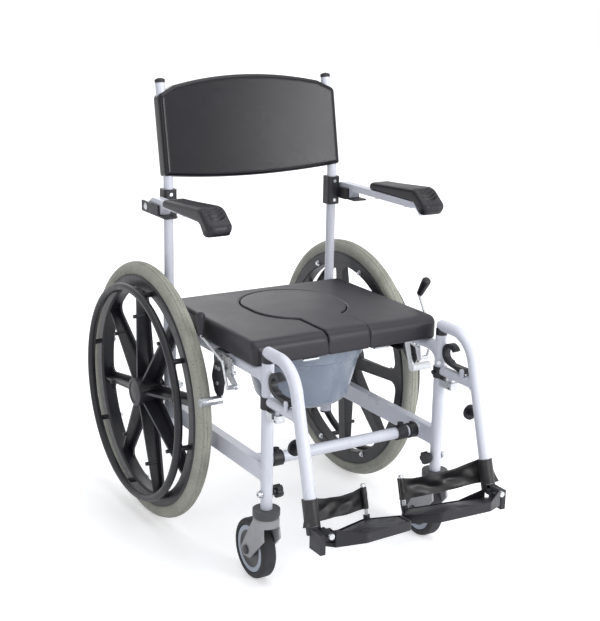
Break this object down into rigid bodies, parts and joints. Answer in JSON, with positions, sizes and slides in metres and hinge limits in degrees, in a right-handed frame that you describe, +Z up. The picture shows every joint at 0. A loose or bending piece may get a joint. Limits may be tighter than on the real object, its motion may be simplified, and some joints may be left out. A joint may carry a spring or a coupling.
{
  "type": "commode wheelchair",
  "caption": "Tubular commode chair with large self-propelling wheels, swivel castors, swing-away legrests, flip-up arms, curved back, lift-out seat lid and slide-out bucket",
  "frame": {"origin": "on the floor, below the middle of the chair's overall length, on its mid-plane", "axes": "+Z up, -Y the way the sitter faces, +X the sitter's left"},
  "size_m": [0.646, 1.0343, 1.0143],
  "materials": {
    "coated_tube": "satin powder coat",
    "black_nylon": "fine moulded grain",
    "charcoal_foam": "satin moulded skin",
    "plated_steel": "bright zinc plate",
    "wheel_nylon": "satin moulded",
    "grey_tyre": "matt, slightly worn",
    "castor_rubber": "matt",
    "castor_ring": "satin",
    "castor_grey": "fine moulded grain",
    "collar_grey": "satin",
    "bucket_plastic": "glossy",
    "strap_fabric": "woven"
  },
  "bodies": {
    "frame": {"front_posts": "coated_tube", "rear_posts": "coated_tube", "side_rails": "coated_tube", "lower_rails": "coated_tube", "cross_tubes": "coated_tube", "tube_clamps": "black_nylon", "post_collars": "black_nylon", "catch_blocks": "plated_steel", "lock_knobs": "black_nylon", "post_bolts": "plated_steel", "wheel_axles": "plated_steel", "castor_collars": "collar_grey", "brake_bases": "plated_steel", "seat_base": "black_nylon", "seat_pad": "charcoal_foam"},
    "backrest": {"back_tubes": "coated_tube", "back_pad": "charcoal_foam", "tube_caps": "black_nylon", "arm_clamps": "black_nylon", "arm_pins": "plated_steel"},
    "lid": {"seat_lid": "charcoal_foam"},
    "bucket_body": {"bucket": "bucket_plastic"},
    "arm_l": {"arm_bar_l": "coated_tube", "arm_pad_l": "charcoal_foam"},
    "legrest_l": {"hanger_tube_l": "coated_tube", "hanger_plug_l": "black_nylon", "foot_socket_l": "black_nylon", "heel_loop_l": "strap_fabric"},
    "footplate_l": {"foot_plate_l": "black_nylon", "heel_rod_l": "plated_steel"},
    "hook_body_l": {"hook_l": "black_nylon"},
    "castor_l": {"castor_fork_l": "castor_grey", "castor_axle_l": "plated_steel"},
    "castor_wheel_l": {"castor_tyre_l": "castor_rubber", "castor_hub_l": "castor_ring"},
    "wheel_l": {"wheel_rim_l": "wheel_nylon", "wheel_tyre_l": "grey_tyre", "handrim_l": "wheel_nylon"},
    "pad_arm_l": {"brake_arm_l": "plated_steel"},
    "lever_l": {"brake_lever_l": "plated_steel", "brake_grip_l": "black_nylon"},
    "arm_r": {"arm_bar_r": "coated_tube", "arm_pad_r": "charcoal_foam"},
    "legrest_r": {"hanger_tube_r": "coated_tube", "hanger_plug_r": "black_nylon", "foot_socket_r": "black_nylon", "heel_loop_r": "strap_fabric"},
    "footplate_r": {"foot_plate_r": "black_nylon", "heel_rod_r": "plated_steel"},
    "hook_body_r": {"hook_r": "black_nylon"},
    "castor_r": {"castor_fork_r": "castor_grey", "castor_axle_r": "plated_steel"},
    "castor_wheel_r": {"castor_tyre_r": "castor_rubber", "castor_hub_r": "castor_ring"},
    "wheel_r": {"wheel_rim_r": "wheel_nylon", "wheel_tyre_r": "grey_tyre", "handrim_r": "wheel_nylon"},
    "pad_arm_r": {"brake_arm_r": "plated_steel"},
    "lever_r": {"brake_lever_r": "plated_steel", "brake_grip_r": "black_nylon"}
  },
  "joints": [
    {"name": "backrest_lift", "type": "slide", "parent": "frame", "child": "backrest", "axis": [0, 0, 1], "range_m": [0, 0.12]},
    {"name": "lid_lift", "type": "slide", "parent": "frame", "child": "lid", "axis": [0, 0, 1], "range_m": [0, 0.15]},
    {"name": "bucket_slide", "type": "slide", "parent": "frame", "child": "bucket_body", "axis": [0, -1, 0], "range_m": [0, 0.3]},
    {"name": "wheel_spin_l", "type": "hinge", "parent": "frame", "child": "wheel_l", "pos_m": [-0.272, 0.21717, 0.3], "axis": [1, 0, 0], "continuous": true},
    {"name": "castor_swivel_l", "type": "hinge", "parent": "frame", "child": "castor_l", "pos_m": [-0.217, -0.24283, 0.15], "axis": [0, 0, 1], "continuous": true},
    {"name": "castor_spin_l", "type": "hinge", "parent": "castor_l", "child": "castor_wheel_l", "pos_m": [-0.217, -0.19883, 0.065], "axis": [1, 0, 0], "continuous": true},
    {"name": "lever_swing_l", "type": "hinge", "parent": "frame", "child": "lever_l", "pos_m": [-0.242, -0.12485, 0.433], "axis": [1, 0, 0], "range_deg": [0, 40]},
    {"name": "pad_swing_l", "type": "hinge", "parent": "frame", "child": "pad_arm_l", "pos_m": [-0.242, -0.08285, 0.435], "axis": [1, 0, 0], "range_deg": [-16.5, 0]},
    {"name": "arm_flip_l", "type": "hinge", "parent": "backrest", "child": "arm_l", "pos_m": [-0.249, 0.23217, 0.729], "axis": [-1, 0, 0], "range_deg": [0, 100]},
    {"name": "legrest_swing_l", "type": "hinge", "parent": "frame", "child": "legrest_l", "pos_m": [-0.217, -0.24283, 0.408], "axis": [0, 0, -1], "range_deg": [0, 90]},
    {"name": "hook_press_l", "type": "hinge", "parent": "legrest_l", "child": "hook_body_l", "pos_m": [-0.217, -0.33101, 0.428], "axis": [1, 0, 0], "range_deg": [0, 12], "stiffness_Nm_per_rad": 0.6, "springref_deg": -2.86},
    {"name": "footplate_flip_l", "type": "hinge", "parent": "legrest_l", "child": "footplate_l", "pos_m": [-0.209, -0.45157, 0.205], "axis": [0, -1, 0], "range_deg": [0, 90]},
    {"name": "wheel_spin_r", "type": "hinge", "parent": "frame", "child": "wheel_r", "pos_m": [0.272, 0.21717, 0.3], "axis": [1, 0, 0], "continuous": true},
    {"name": "castor_swivel_r", "type": "hinge", "parent": "frame", "child": "castor_r", "pos_m": [0.217, -0.24283, 0.15], "axis": [0, 0, 1], "continuous": true},
    {"name": "castor_spin_r", "type": "hinge", "parent": "castor_r", "child": "castor_wheel_r", "pos_m": [0.217, -0.19883, 0.065], "axis": [1, 0, 0], "continuous": true},
    {"name": "lever_swing_r", "type": "hinge", "parent": "frame", "child": "lever_r", "pos_m": [0.242, -0.12485, 0.433], "axis": [1, 0, 0], "range_deg": [-40, 0]},
    {"name": "pad_swing_r", "type": "hinge", "parent": "frame", "child": "pad_arm_r", "pos_m": [0.242, -0.08285, 0.435], "axis": [1, 0, 0], "range_deg": [0, 16.5]},
    {"name": "arm_flip_r", "type": "hinge", "parent": "backrest", "child": "arm_r", "pos_m": [0.249, 0.23217, 0.729], "axis": [-1, 0, 0], "range_deg": [0, 100]},
    {"name": "legrest_swing_r", "type": "hinge", "parent": "frame", "child": "legrest_r", "pos_m": [0.217, -0.24283, 0.408], "axis": [0, 0, 1], "range_deg": [0, 90]},
    {"name": "hook_press_r", "type": "hinge", "parent": "legrest_r", "child": "hook_body_r", "pos_m": [0.217, -0.33101, 0.428], "axis": [1, 0, 0], "range_deg": [0, 12], "stiffness_Nm_per_rad": 0.6, "springref_deg": -2.86},
    {"name": "footplate_flip_r", "type": "hinge", "parent": "legrest_r", "child": "footplate_r", "pos_m": [0.209, -0.45157, 0.205], "axis": [0, 1, 0], "range_deg": [0, 90]}
  ],
  "couplings": [
    {"joint": "pad_swing_l", "follows": "lever_swing_l", "ratio": -0.4125},
    {"joint": "pad_swing_r", "follows": "lever_swing_r", "ratio": -0.4125}
  ]
}
